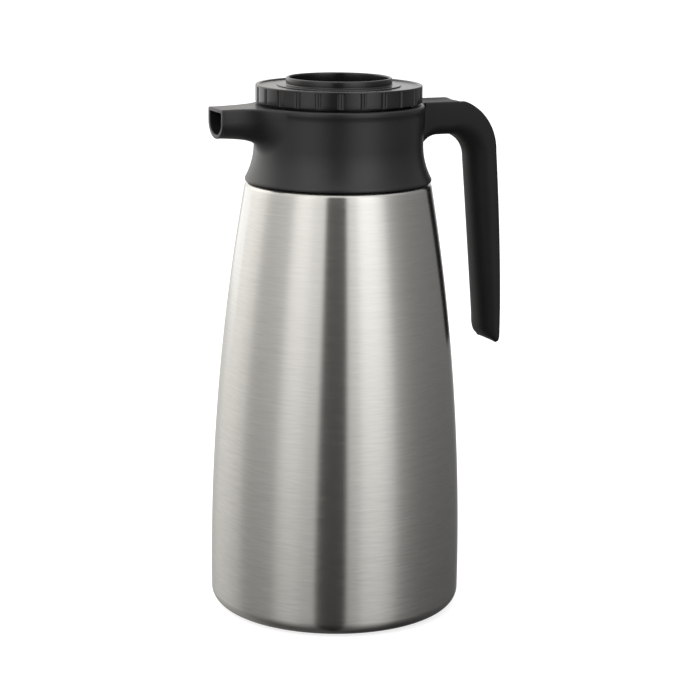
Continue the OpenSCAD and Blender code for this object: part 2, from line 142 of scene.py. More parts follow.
# One node tree turns a profile and cuts grooves round its rim.
def turningTree():
    tree = bpy.data.node_groups.new("turnedPiece", "GeometryNodeTree")
    face = tree.interface
    face.new_socket("Profile", in_out="INPUT", socket_type="NodeSocketGeometry")
    plan = [("Segments", "Int", 192), ("Rows", "Int", 8), ("Grooves", "Int", 0),
            ("Rim Radius", "Float", 1.0), ("Groove Depth", "Float", 0.0),
            ("Groove Tool", "Float", 0.002), ("Groove Top", "Float", 0.0)]
    for label, kind, value in plan:
        socket = face.new_socket(label, in_out="INPUT", socket_type="NodeSocket" + kind)
        socket.default_value = value
    face.new_socket("Material", in_out="INPUT", socket_type="NodeSocketMaterial")
    face.new_socket("Solid", in_out="OUTPUT", socket_type="NodeSocketGeometry")

    nodes, links = tree.nodes, tree.links
    given = nodes.new("NodeGroupInput").outputs
    reckon = partial(mathNode, tree)

    # a unit grid: across it the turn, along it the rows of the profile
    grid = nodes.new("GeometryNodeMeshGrid")
    grid.inputs["Size X"].default_value = grid.inputs["Size Y"].default_value = 1.0
    links.new(reckon("ADD", given["Segments"], 1), grid.inputs["Vertices X"])
    links.new(given["Rows"], grid.inputs["Vertices Y"])
    spot = nodes.new("ShaderNodeSeparateXYZ")
    links.new(nodes.new("GeometryNodeInputPosition").outputs[0], spot.inputs[0])
    turn = reckon("ADD", spot.outputs[0], 0.5)
    angle = reckon("MULTIPLY", turn, 2 * math.pi)
    row = reckon("ROUND", reckon("MULTIPLY", reckon("ADD", spot.outputs[1], 0.5),
                                 reckon("SUBTRACT", given["Rows"], 1)))
    sample = nodes.new("GeometryNodeSampleIndex")
    sample.data_type, sample.domain = "FLOAT_VECTOR", "POINT"
    links.new(given["Profile"], sample.inputs["Geometry"])
    links.new(nodes.new("GeometryNodeInputPosition").outputs[0], sample.inputs["Value"])
    links.new(row, sample.inputs["Index"])
    profile = nodes.new("ShaderNodeSeparateXYZ")
    links.new(sample.outputs[0], profile.inputs[0])
    radius, height = profile.outputs[0], profile.outputs[2]

    # a round cutter standing just outside the rim, once for every groove
    share = reckon("SUBTRACT", reckon("FRACT", reckon("MULTIPLY", turn, given["Grooves"])), 0.5)
    pitch = reckon("DIVIDE", reckon("MULTIPLY", given["Rim Radius"], 2 * math.pi), given["Grooves"])
    aside = reckon("MULTIPLY", share, pitch)
    tool = given["Groove Tool"]
    inside = reckon("MAXIMUM", reckon("SUBTRACT", reckon("MULTIPLY", tool, tool),
                                      reckon("MULTIPLY", aside, aside)), 0.0)
    cut = reckon("MAXIMUM", reckon("ADD", reckon("SUBTRACT", given["Groove Depth"], tool),
                                   reckon("SQRT", inside)), 0.0)
    rim = reckon("MINIMUM", radius, reckon("SUBTRACT", given["Rim Radius"], cut))
    below = reckon("LESS_THAN", height, given["Groove Top"])
    taken = reckon("MULTIPLY", reckon("SUBTRACT", radius, rim), below)
    reach = reckon("SUBTRACT", radius, taken)

    put = nodes.new("ShaderNodeCombineXYZ")
    links.new(reckon("MULTIPLY", reach, reckon("COSINE", angle)), put.inputs[0])
    links.new(reckon("MULTIPLY", reach, reckon("SINE", angle)), put.inputs[1])
    links.new(height, put.inputs[2])
    move = nodes.new("GeometryNodeSetPosition")
    links.new(grid.outputs[0], move.inputs["Geometry"])
    links.new(put.outputs[0], move.inputs["Position"])
    weld = nodes.new("GeometryNodeMergeByDistance")
    links.new(move.outputs[0], weld.inputs["Geometry"])
    weld.inputs["Distance"].default_value = 1e-6
    real = nodes.new("GeometryNodeRealizeInstances")
    links.new(weld.outputs[0], real.inputs[0])
    coat = nodes.new("GeometryNodeSetMaterial")
    links.new(real.outputs[0], coat.inputs["Geometry"])
    links.new(given["Material"], coat.inputs["Material"])
    links.new(coat.outputs[0], nodes.new("NodeGroupOutput").inputs[0])
    return tree


turning = turningTree()


# A profile of (radius, height) in millimetres, turned round the axis.
def turnPiece(name, profile, material, limit=32, **sizes):
    mesh = bpy.data.meshes.new(name)
    points = [(x * mm, 0, z * mm) for x, z in profile]
    mesh.from_pydata(points, [(k, k + 1) for k in range(len(points) - 1)], [])
    piece = addObject(name, mesh)
    modifier = piece.modifiers.new("turning", "NODES")
    modifier.node_group = turning
    values = {"Rows": len(points), "Material": material, **sizes}
    for item in turning.interface.items_tree:
        if item.item_type == "SOCKET" and item.in_out == "INPUT" and item.name in values:
            modifier[item.identifier] = values[item.name]
    bakeModifiers(piece)
    settle(piece, limit)
    return piece


# Finishes: a plain Principled shader, with the object's own coordinates at hand.
def startMaterial(name):
    material = bpy.data.materials.new(name)
    material.use_nodes = True
    tree = material.node_tree
    shader = tree.nodes["Principled BSDF"]
    spot = tree.nodes.new("ShaderNodeTexCoord").outputs["Object"]
    return material, tree, shader, spot


def grain(tree, spot, scale, detail, rough=0.5):
    mapping = tree.nodes.new("ShaderNodeMapping")
    mapping.inputs["Scale"].default_value = scale
    tree.links.new(spot, mapping.inputs["Vector"])
    noise = tree.nodes.new("ShaderNodeTexNoise")
    noise.inputs["Scale"].default_value = 1.0
    noise.inputs["Detail"].default_value = detail
    noise.inputs["Roughness"].default_value = rough
    tree.links.new(mapping.outputs[0], noise.inputs["Vector"])
    return noise.outputs["Fac"]


# Stretches the middle of a value's range to low and high.
def spread(tree, value, low, high, fromLow=0.3, fromHigh=0.7):
    node = tree.nodes.new("ShaderNodeMapRange")
    for label, number in (("From Min", fromLow), ("From Max", fromHigh),
                          ("To Min", low), ("To Max", high)):
        node.inputs[label].default_value = number
    tree.links.new(value, node.inputs["Value"])
    return node.outputs[0]


def tint(tree, value, dark, light):
    node = tree.nodes.new("ShaderNodeMix")
    node.data_type = "RGBA"
    node.inputs["A"].default_value = (*dark, 1)
    node.inputs["B"].default_value = (*light, 1)
    tree.links.new(value, node.inputs["Factor"])
    return node.outputs["Result"]


def relief(tree, shader, value, strength, distance):
    node = tree.nodes.new("ShaderNodeBump")
    node.inputs["Strength"].default_value = strength
    node.inputs["Distance"].default_value = distance
    tree.links.new(value, node.inputs["Height"])
    tree.links.new(node.outputs[0], shader.inputs["Normal"])


def average(tree, first, second, share):
    node = tree.nodes.new("ShaderNodeMix")
    node.data_type = "FLOAT"
    for label, value in (("Factor", share), ("A", first), ("B", second)):
        feed(tree, node.inputs[label], value)
    return node.outputs["Result"]


brushSet = {"detail": 4, "rough": 0.62, "broad": (14, 14, 420), "broadShare": 0.22, "relief": 0.08,
            "deep": 0.00003, "stretch": 0.86, "turned": 0.25}


# Brushed round the axis: long fine lines, wider glints up and down than sideways.
def brushedSteel(name, dark, light, lowRough, highRough, line=0.0006, run=0.010):
    material, tree, shader, spot = startMaterial(name)
    fine = grain(tree, spot, (1 / run, 1 / run, 1 / line), brushSet["detail"], brushSet["rough"])
    broad = grain(tree, spot, brushSet["broad"], 2)
    streak = average(tree, fine, broad, brushSet["broadShare"])
    tree.links.new(tint(tree, spread(tree, streak, 0, 1), dark, light), shader.inputs["Base Color"])
    tree.links.new(spread(tree, fine, lowRough, highRough), shader.inputs["Roughness"])
    relief(tree, shader, fine, brushSet["relief"], brushSet["deep"])
    shader.inputs["Metallic"].default_value = 1.0
    shader.inputs["Anisotropic"].default_value = brushSet["stretch"]
    shader.inputs["Anisotropic Rotation"].default_value = brushSet["turned"]
    tangent = tree.nodes.new("ShaderNodeTangent")
    tangent.direction_type, tangent.axis = "RADIAL", "Z"
    tree.links.new(tangent.outputs[0], shader.inputs["Tangent"])
    return material


mouldSet = {"fine": 0.00035, "slow": 38, "slowShare": 0.55, "relief": 0.2, "deep": 0.00002}


# Moulded plastic or rubber: spark-eroded grain, slow changes of gloss.
def moulded(name, dark, light, lowRough, highRough, index=1.5, fine=mouldSet["fine"], metal=0.0):
    material, tree, shader, spot = startMaterial(name)
    sparks = grain(tree, spot, (1 / fine,) * 3, 2)
    slow = grain(tree, spot, (mouldSet["slow"],) * 3, 3)
    tree.links.new(tint(tree, spread(tree, slow, 0, 1), dark, light), shader.inputs["Base Color"])
    gloss = average(tree, sparks, slow, mouldSet["slowShare"])
    tree.links.new(spread(tree, gloss, lowRough, highRough), shader.inputs["Roughness"])
    relief(tree, shader, sparks, mouldSet["relief"], mouldSet["deep"])
    shader.inputs["IOR"].default_value = index
    shader.inputs["Metallic"].default_value = metal
    return material


finishes = {
    "steel": brushedSteel("steelBrushed", (0.600, 0.590, 0.562), (0.675, 0.664, 0.636), 0.20, 0.25),
    "liner": brushedSteel("steelLiner", (0.50, 0.495, 0.48), (0.60, 0.595, 0.58), 0.30, 0.42,
                          line=0.0009, run=0.02),
    "screws": moulded("steelScrew", (0.30, 0.30, 0.30), (0.42, 0.42, 0.41), 0.28, 0.40, metal=1.0),
    "black": moulded("plasticBlack", (0.0085, 0.0090, 0.0096), (0.0115, 0.0120, 0.0126), 0.29, 0.37),
    "lid": moulded("plasticLid", (0.0045, 0.0048, 0.0050), (0.0065, 0.0068, 0.0070), 0.20, 0.27,
                   index=1.58),
    "grip": moulded("plasticGrip", (0.0082, 0.0088, 0.0090), (0.0102, 0.0108, 0.0110), 0.46, 0.56,
                    index=1.35),
    # painted shade: a darker, duller black that stands in for the shade deep in the brew ring's well
    "inner": moulded("plasticWellShade", (0.0022, 0.0022, 0.0024), (0.0034, 0.0034, 0.0036), 0.45, 0.58,
                     index=1.25),
    "rubber": moulded("rubberFoot", (0.030, 0.030, 0.031), (0.048, 0.048, 0.050), 0.62, 0.80, fine=0.0006),
    "seal": moulded("rubberSeal", (0.16, 0.16, 0.165), (0.22, 0.22, 0.225), 0.45, 0.60),
    "white": moulded("plasticWhite", (0.70, 0.70, 0.675), (0.78, 0.78, 0.76), 0.34, 0.46),
}
print("carafe: finishes ready")


def paint(piece, material):
    piece.data.materials.clear()
    piece.data.materials.append(material)


# Puts a finished piece on its body, in the place of the named solids.
def place(piece, body, slot, *nodes):
    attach(piece, body)
    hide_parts(*nodes)


# Steel body: one long arc from the belly to the shoulder.
bodySet = {"radius": 66.2, "bellyHeight": 20, "baseRounding": 7.5, "jointHeight": 227,
           "jointRadius": 48, "sheet": 0.7, "vacuumGap": 4.2, "foot": 0.6, "neckRadius": 34,
           "neckOuter": 37.7, "neckTop": 245.4, "neckBead": 240.8, "beadRound": 0.9, "shoulderRound": 3,
           "padOuter": 49.6, "padGap": 1.4}
linerSet = {"sheet": 0.6, "low": 10.3, "top": 5, "lowRound": 12, "topRound": 5, "lip": 0.2}
sideRise = bodySet["jointHeight"] - bodySet["bellyHeight"]
sideFall = bodySet["radius"] - bodySet["jointRadius"]
sideRadius = (sideRise ** 2 + sideFall ** 2) / (2 * sideFall)


# The side's radius at a height.
def sideX(z, inset=0.0):
    reach = (sideRadius - inset) ** 2 - (z - bodySet["bellyHeight"]) ** 2
    return bodySet["radius"] - sideRadius + math.sqrt(reach)


# Outline of a can from its bottom edge to its shoulder, inset from the body's side.
def canProfile(inset, low, lowRound, high, highRound, steps):
    lowCentre, highCentre = low + lowRound, high - highRound
    bottomX = sideX(lowCentre, inset) - lowRound
    topX = sideX(highCentre, inset) - highRound
    points = arcPoints(bottomX, lowCentre, lowRound, -90, 0, 14)
    for k in range(1, steps):
        z = lowCentre + (highCentre - lowCentre) * k / steps
        points.append((sideX(z, inset), z))
    slope = math.degrees(math.asin((highCentre - bodySet["bellyHeight"]) / sideRadius))
    return points + arcPoints(topX, highCentre, highRound, slope, 90, 8)


shellTop, sheet = bodySet["jointHeight"] - 0.4, bodySet["sheet"]
foot, footRound, shoulder = bodySet["foot"], bodySet["baseRounding"], bodySet["shoulderRound"]
outside = canProfile(0, foot, footRound, shellTop, shoulder, 56)
inside = canProfile(sheet, foot + sheet, footRound - sheet, shellTop - sheet, shoulder - sheet, 28)
turnIn = bodySet["padOuter"] + bodySet["padGap"]
neckOut, neckIn, neckTop = bodySet["neckOuter"], bodySet["neckOuter"] - sheet, bodySet["neckTop"]
neckBead, beadRise = bodySet["neckBead"], bodySet["beadRound"]
shellProfile = (
    [(turnIn, foot)] + outside + [(neckOut, shellTop), (neckOut, neckBead - beadRise)]
    + arcPoints(neckOut - 0.1, neckBead, beadRise, -80, 80, 8)
    + [(neckOut, neckBead + beadRise), (neckOut, neckTop), (neckIn, neckTop), (neckIn, shellTop - sheet)]
    + inside[::-1] + [(turnIn, foot + sheet), (turnIn, foot)])
steelBody = turnPiece("steelBody", shellProfile, finishes["steel"], Segments=256)
place(steelBody, "carafe", "steel", "outer_shell")

linerSheet, linerInset = linerSet["sheet"], sheet + bodySet["vacuumGap"]
linerLow, linerTop = foot + linerSet["low"], bodySet["jointHeight"] - linerSet["top"]
linerOut = canProfile(linerInset, linerLow, linerSet["lowRound"], linerTop, linerSet["topRound"], 28)
linerIn = canProfile(linerInset + linerSheet, linerLow + linerSheet, linerSet["lowRound"] - linerSheet,
                     linerTop - linerSheet, linerSet["topRound"] - linerSheet, 28)
neckBore = bodySet["neckRadius"]
linerProfile = (
    [(0, linerLow)] + linerOut + [(neckBore + linerSheet, linerTop),
     (neckBore + linerSheet, neckTop), (neckOut, neckTop),
     (neckOut, neckTop + linerSheet), (neckBore + 2 * linerSet["lip"], neckTop + linerSheet),
     (neckBore, neckTop + linerSet["lip"]), (neckBore, linerTop - linerSheet)]
    + linerIn[::-1] + [(0, linerLow + linerSheet)])
flaskLiner = turnPiece("flaskLiner", linerProfile, finishes["liner"], Segments=192)
place(flaskLiner, "carafe", "liner_steel", "inner_flask")
print("carafe: steel body and liner made")


# Collar with its spout.
collarSet = {"low": 227, "top": 266.4, "hem": 48.3, "waist": 43.75, "waistHeight": 246, "flareDrop": 17.8,
             "bead": 44.3, "beadHeight": 264.9, "beadRound": 1.5,
             "swell": 0.46, "swellLow": 261, "swellRise": 2.5,
             "bore": 37.5, "ledge": 35.6, "ledgeTop": 249.2, "ledgeLow": 247.6,
             "neck": 38.0, "neckLow": 242.2,
             "clip": 38.8, "clipOut": 40.5, "clipTop": 239.9, "clipLow": 237.9,
             "skirtTop": 228.4, "skirtIn": 42.2, "pocket": 43.0, "pocketOut": 45.9, "wall": 2.4}
spoutSet = {"reach": 67.7, "half": 10, "wall": 2, "sweep": 32, "topDrop": 0.1, "depth": 15.2,
            "corner": 1.1, "upright": 0.42, "turnHeight": 258,
            "throat": 9.2, "tipRound": 0.45, "floorDrop": 0.24, "lip": 0.3, "lipRun": 1.8, "skirt": 21.5,
            "skirtTop": 262, "pull": 0.355, "under": 0.33, "climb": 0.025, "dive": 0.085, "rows": 26,
            "sunk": 3, "tip": (-40.6, 0, 256)}
collarTop, collarLow = collarSet["top"], collarSet["low"]
waist, waistHeight = collarSet["waist"], collarSet["waistHeight"]
flareX, flareZ = collarSet["hem"] - waist, collarSet["flareDrop"]
flareRadius = (flareX ** 2 + flareZ ** 2) / (2 * flareX)
flareEnd = math.degrees(math.asin(flareZ / flareRadius))
rim, beadHeight, beadRound = (collarSet[k] for k in ("bead", "beadHeight", "beadRound"))
beadCentre = rim - beadRound
pocketRadius = flareRadius + collarSet["wall"]
pocketStart = math.degrees(math.acos((waist + flareRadius - collarSet["pocket"]) / pocketRadius))
pocketEnd = math.degrees(math.asin(flareZ / pocketRadius))


# The collar's inner side, from its top down to its hem.
def collarInside():
    c = collarSet
    return (
        [(c["bore"] + 2.7, c["top"]), (c["bore"] + 0.6, c["top"]),
         (c["bore"] + 0.25, 266.3), (c["bore"], 266.0)]
        + [(c["bore"], z) for z in (262, 258, 253.5, c["ledgeTop"])]
        + [(c["ledge"], c["ledgeTop"]), (c["ledge"], c["ledgeLow"]), (c["neck"], c["ledgeLow"]),
           (c["neck"], c["neckLow"]), (c["clip"], c["neckLow"]), (c["clip"], c["clipTop"]),
           (c["clipOut"], c["clipTop"]), (c["clipOut"], c["clipLow"]), (c["clip"], c["clipLow"]),
           (c["clip"], c["skirtTop"]), (c["skirtIn"], c["skirtTop"]), (c["skirtIn"], c["low"]),
           (c["pocket"], c["low"])]
        + arcPoints(waist + flareRadius, waistHeight, pocketRadius, 180 + pocketStart, 180 + pocketEnd, 8)
        + [(c["pocketOut"], 227.6), (c["pocketOut"], c["low"])])


collarProfile = (
    [(47.9, collarLow), (48.2, 227.1), (48.3, 227.4)]
    + arcPoints(waist + flareRadius, waistHeight, flareRadius, 180 + flareEnd, 180, 22)
    + [(waist, z) for z in (250, 254, 258, collarSet["swellLow"])]
    + [(waist + out, z) for out, z in ((0.03, 261.6), (0.13, 262.2), (0.30, 262.9),
                                       (collarSet["swell"], 263.5))]
    + arcPoints(beadCentre, 264.0, beadRound, -8, 0, 1)
    + arcPoints(beadCentre, beadHeight, beadRound, 0, 90, 10)
    + collarInside() + [(47.9, collarLow)])
collar = turnPiece("collarMoulding", collarProfile, finishes["black"], Segments=256)

spoutHalf, spoutReach, sweep = spoutSet["half"], spoutSet["reach"], spoutSet["sweep"]
flareStart = -math.sqrt((rim + sweep) ** 2 - (spoutHalf + sweep) ** 2)
flareAngle = math.asin((spoutHalf + sweep) / (rim + sweep))
throatX = -(waist + spoutSet["throat"])
spoutFloor = collarTop - spoutSet["topDrop"] - spoutSet["depth"]
cornerSteps, ovalSteps = 6, 30  # of every spout ring and of its landing on the collar
quarterTurn = [math.radians(90 * k / cornerSteps) for k in range(cornerSteps + 1)]
halfTurn = [math.radians(180 * k / ovalSteps) for k in range(ovalSteps + 1)]


def spoutCeiling(x):
    return collarTop - spoutSet["topDrop"] * max(0, -x - waist) / (spoutReach - waist)


# Flat top with small corners, upright sides and a round bottom.
def spoutRing(x, half, high, low, corner, inset=0.0):
    half, high, low = half - inset, high - inset, low + inset
    middle = high - (high - low) * spoutSet["upright"]
    ring = [(x, corner - half - corner * math.sin(a), high - corner + corner * math.cos(a))
            for a in quarterTurn]
    ring += [(x, -half * math.cos(a), middle - (middle - low) * math.sin(a)) for a in halfTurn]
    ring += [(x, half - corner + corner * math.sin(a), high - corner + corner * math.cos(a))
             for a in reversed(quarterTurn)]
    return ring


# Radius of the collar's outside at a height.
def collarSide(z):
    c = collarSet
    if z < waistHeight:
        return waist + flareRadius - math.sqrt(flareRadius ** 2 - (waistHeight - z) ** 2)
    return waist + c["swell"] * max(0, (z - c["swellLow"]) / c["swellRise"]) ** 1.7


# Where the spout's skin lands on the collar, and the way it runs in there: a half oval
# on the waist, up over the bead and back along the top. The points match spoutRing's.
def landing(depth):
    def overBead(turn, along):
        return [(turn, beadCentre + beadRound * math.cos(a), beadHeight + beadRound * math.sin(a), (along, 0))
                for a in quarterTurn]

    places = overBead(-flareAngle, -1)[::-1]
    for a in halfTurn:
        turn, z = -flareAngle * math.cos(a), spoutSet["skirtTop"] - spoutSet["skirt"] * math.sin(a)
        run = Vector((turn * waist, z - spoutSet["turnHeight"])).normalized()
        places.append((turn, collarSide(z) - 0.015, z, (run.x, run.y)))
    places += overBead(flareAngle, 1)
    result = []
    for turn, radius, z, (along, upward) in places:
        radius, z = radius - depth, min(z, collarTop - depth)
        slope = (collarSide(z + 0.1) - collarSide(z - 0.1)) / 0.2 if z < 263 else 0
        way = along * Vector((math.sin(turn), math.cos(turn), 0))
        way += upward * Vector((-slope * math.cos(turn), slope * math.sin(turn), 1))
        result.append((Vector((-radius * math.cos(turn), radius * math.sin(turn), z)), way))
    return result


# Rings from the rounded mouth back to where the sides start to flare.
def mouthRings():
    tip = spoutSet["tipRound"]
    places = [(-spoutReach + tip * (1 - math.cos(a)), tip * (1 - math.sin(a)))
              for a in (math.radians(d) for d in (0, 30, 60, 90))]
    rings = []
    for x, inset in places + [(-66.4, 0), (-65, 0), (flareStart, 0)]:
        low = spoutFloor - spoutSet["floorDrop"] * (x + spoutReach) / (flareStart + spoutReach)
        lip = spoutSet["lip"] * max(0, 1 - (x + spoutReach) / spoutSet["lipRun"]) ** 2
        rings.append(spoutRing(x, spoutHalf + lip, spoutCeiling(x), low - lip, spoutSet["corner"], inset))
    return rings


# Rings from there to the collar, every point on a Bezier curve that leaves along the
# spout and arrives along the collar's side.
def blendRings(mouth):
    start, ends, pull = [Vector(p) for p in mouth], landing(0), spoutSet["pull"]
    rings = []
    for step in range(1, spoutSet["rows"] + 1):
        t = step / spoutSet["rows"]
        ring = []
        for k, (a, (b, way)) in enumerate(zip(start, ends)):
            under = min(max((k - cornerSteps) / (ovalSteps + 2), 0), 1)
            deep = math.sin(math.pi * under)  # 0 along the shoulder, 1 underneath
            reach = (b - a).length
            rise = spoutSet["climb"] - spoutSet["dive"] * deep
            leave = a + Vector((1, 0, rise)) * reach * (pull + spoutSet["under"] * deep)
            arrive = b - way * reach * pull
            ring.append((1 - t) ** 3 * a + 3 * (1 - t) ** 2 * t * leave + 3 * (1 - t) * t * t * arrive
                        + t ** 3 * b)
        rings.append(ring)
    return rings


# Closes the flat top of a ring: a straight row at the mouth, an arc of the shoulder at the collar.
def topRow(ring, bow, steps=12, crown=0.03):
    a, b = Vector(ring[-1]), Vector(ring[0])
    row = []
    for k in range(1, steps):
        point = a.lerp(b, k / steps)
        arc = math.sqrt(max(0, beadCentre ** 2 - point.y ** 2)) - math.sqrt(beadCentre ** 2 - a.y ** 2)
        point.x -= arc * bow
        point.z += crown * bow * math.sin(math.pi * k / steps)
        row.append(point)
    return ring + row


mouth = mouthRings()
spoutRings = [topRow(ring, 0) for ring in mouth]
for step, ring in enumerate(blendRings(mouth[-1]), 1):
    t = step / spoutSet["rows"]
    spoutRings.append(topRow(ring, t * t * (3 - 2 * t)))
spoutRings.append(topRow([spot for spot, way in landing(spoutSet["sunk"])], 1))
combine(collar, loftPiece("spoutSolid", spoutRings, tip=spoutSet["tip"]), "UNION")


# Section with rounded corners, square to X.
def blockRing(x, half, high, low, corner):
    ring = []
    for y, z, start in ((half, high, 0), (-half, high, 90), (-half, low, 180), (half, low, 270)):
        cy, cz = y - math.copysign(corner, y), z + (corner if z == low else -corner)
        ring += [(x, cy + corner * math.cos(math.radians(start + 15 * k)),
                  cz + corner * math.sin(math.radians(start + 15 * k))) for k in range(7)]
    return ring


# Tongue inside the handle's arm, which takes the two screws.
tongueSet = {"from": 42.0, "to": 59.6, "half": 7.8, "high": 263.9, "low": 253.0, "corner": 0.5}
tongueRings = [blockRing(x, tongueSet["half"], tongueSet["high"], tongueSet["low"], tongueSet["corner"])
               for x in (tongueSet["from"], tongueSet["to"])]
combine(collar, loftPiece("tongueSolid", tongueRings), "UNION")

bore, above = collarSet["bore"], 280
boreProfile = [(0, collarSet["ledgeTop"]), (bore, collarSet["ledgeTop"]), (bore, above), (0, above)]
combine(collar, turnPiece("boreSolid", boreProfile, finishes["black"], Segments=256), "DIFFERENCE")

# the channel opens a little wider at the mouth
wall, mouthEase = spoutSet["wall"], 0.35
channelRings = [spoutRing(x, spoutHalf - wall + w, spoutCeiling(x) - wall + w, spoutFloor + wall - w, 0.9)
                for x, w in ((-spoutReach - 1, mouthEase), (-spoutReach, mouthEase),
                             (-spoutReach + mouthEase, 0), (throatX, 0), (-waist, 0), (-35.0, 0))]
combine(collar, loftPiece("channelSolid", channelRings), "DIFFERENCE")

tracks = {"angles": (30, 150, 270), "inner": 36.4, "outer": 40.1, "low": 255.6, "high": 259.4,
          "half": 8, "turn": 60, "entryTop": 268}


# Part of a ring between two angles.
def ringPart(name, inner, outer, low, high, start, end):
    steps = max(4, round((end - start) / 2))
    rings = []
    for k in range(steps + 1):
        a = math.radians(start + (end - start) * k / steps)
        rings.append([(r * math.cos(a), r * math.sin(a), z)
                      for r, z in ((inner, low), (outer, low), (outer, high), (inner, high))])
    return loftPiece(name, rings)


for a in tracks["angles"]:
    combine(collar, ringPart("trackSolid", tracks["inner"], tracks["outer"], tracks["low"],
                             tracks["high"], a - tracks["turn"] - tracks["half"] - 1,
                             a - tracks["half"] + 2), "DIFFERENCE")
    combine(collar, ringPart("entrySolid", tracks["inner"] - 0.3, tracks["outer"] + 0.1,
                             tracks["low"] - 0.1, tracks["entryTop"], a - tracks["half"] - 1,
                             a + tracks["half"] + 1), "DIFFERENCE")
settle(collar, 34, merge=1e-6)
paint(collar, finishes["black"])
place(collar, "carafe", "black", "collar")
print("carafe: collar and spout made,", len(collar.data.polygons), "faces")


# Handle. The arm has a flat top, which cuts the bend; the grip leans out and ends free.
handleSet = {"root": 41.2, "armTop": 266.5, "armLow": 249.0, "half": 12, "bendX": 58.0,
             "bendZ": 239.5, "bendRadius": 28.5, "innerX": 60.1, "innerZ": 235.4, "innerBend": 13.5,
             "reach": 91.3, "gripLow": 147.5, "fall": 4.8, "fallPower": 1.6, "endDepth": 9.3,
             "backRound": 1.1, "backShare": 0.18, "riseShare": 0.78, "armSteps": 18, "gripSteps": 20,
             "armRise": 6, "armSpread": 7, "gripRise": 10.6, "gripSpread": 11.4, "endRise": 7.4,
             "fillet": 7.2, "filletEnd": 54.2, "filletRun": 12.2, "filletPower": 2.4,
             "knuckle": 0.1, "knuckleRun": 0.6, "dish": 1.1, "dishFade": 2.8, "dishSpread": 11,
             "coverHalf": 8.4, "coverDepth": 3.9, "coverGap": 0.05,
             "hollowHalf": 8.2, "hollowLow": 3.7, "wall": 2.6, "rootGap": 1.2, "screws": (49.0, 56.2)}

# A section of the handle: its inner and outer point, how much narrower it is than the rest,
# and the depth and width of its inner rounding.
Station = namedtuple("Station", "inner outer narrower rise spread")


def gripBack(z):
    h = handleSet
    share = max(0, z - h["gripLow"]) / (h["bendZ"] - h["gripLow"])
    return h["reach"] - h["fall"] * share ** h["fallPower"]


def gripFront(z):
    h = handleSet
    t = (h["innerZ"] - z) / (h["innerZ"] - h["gripLow"])
    start = h["innerX"] + h["innerBend"]
    return start + t * (h["reach"] - h["endDepth"] - start)


def armStations():
    h = handleSet
    result = []
    for k in range(h["armSteps"] + 1):
        t = k / h["armSteps"]
        inner = h["root"] + t * (h["innerX"] - h["root"])
        share = max(0, min(1, (h["filletEnd"] - inner) / h["filletRun"]))
        result.append(Station((inner, h["armLow"] - h["fillet"] * share ** h["filletPower"]),
                              (h["root"] + t * (h["bendX"] - h["root"]), h["armTop"]),
                              0, h["armRise"], h["armSpread"]))
    return result


# The inner rounding grows along the bend. A soft knuckle is left where the arm's top cuts it.
def bendStations():
    h = handleSet
    result = []
    for degrees in [90 - 2.5 * k for k in range(1, 13)] + list(range(55, 0, -5)):
        a = math.radians(degrees)
        grown = math.cos(a)
        height = h["bendZ"] + h["bendRadius"] * math.sin(a)
        near = max(0, 1 - abs(height - h["armTop"]) / h["knuckleRun"])
        height = min(height, h["armTop"]) - h["knuckle"] * near ** 3
        result.append(Station(
            (h["innerX"] + h["innerBend"] * math.cos(a), h["innerZ"] + h["innerBend"] * math.sin(a)),
            (h["bendX"] + h["bendRadius"] * math.cos(a), height), 0,
            h["armRise"] + grown * (h["gripRise"] - h["armRise"]),
            h["armSpread"] + grown * (h["gripSpread"] - h["armSpread"])))
    return result


def gripStations():
    h = handleSet
    result = []
    for k in range(h["gripSteps"] + 1):
        t = k / h["gripSteps"]
        inner = h["innerZ"] + t * (h["gripLow"] - h["innerZ"])
        outer = h["bendZ"] + t * (h["gripLow"] - h["bendZ"])
        result.append(Station((gripFront(inner), inner), (gripBack(outer), outer), 0,
                              h["gripRise"] + t * (h["endRise"] - h["gripRise"]), h["gripSpread"]))
    # the rounded end, slanting down to the back
    front, back, low = h["reach"] - h["endDepth"], h["reach"], h["gripLow"]
    for inX, inZ, outX, outZ, narrower in (
            (0, -1.2, 0, -2.6, 0), (0.2, -3.5, 0, -5.0, 0), (0.75, -5.6, 0, -7.2, 0),
            (1.6, -7.4, -0.05, -9.2, 0.05), (2.8, -8.8, -0.35, -10.6, 0.25),
            (4.2, -9.6, -1.0, -11.5, 0.7), (5.6, -10.0, -2.0, -12.0, 1.5)):
        result.append(Station((front + inX, low + inZ), (back + outX, low + outZ), narrower,
                              h["endRise"], h["gripSpread"] - narrower))
    return result


def depthOf(station):
    return math.dist(station.inner, station.outer)


def riseOf(station):
    return min(station.rise, depthOf(station) * handleSet["riseShare"])


# A point of a station, s in from its inner side, at width y.
def onStation(station, y, s):
    (ax, az), (bx, bz) = station.inner, station.outer
    length = depthOf(station)
    return (ax + (bx - ax) / length * s, y, az + (bz - az) / length * s)


# How far the inner side has drawn back at width y.
def drawnBack(station, y, half):
    rise = riseOf(station)
    t = max(0, (abs(y) - (half - station.spread)) / station.spread)
    return rise - rise * math.sqrt(max(0, 1 - t * t))


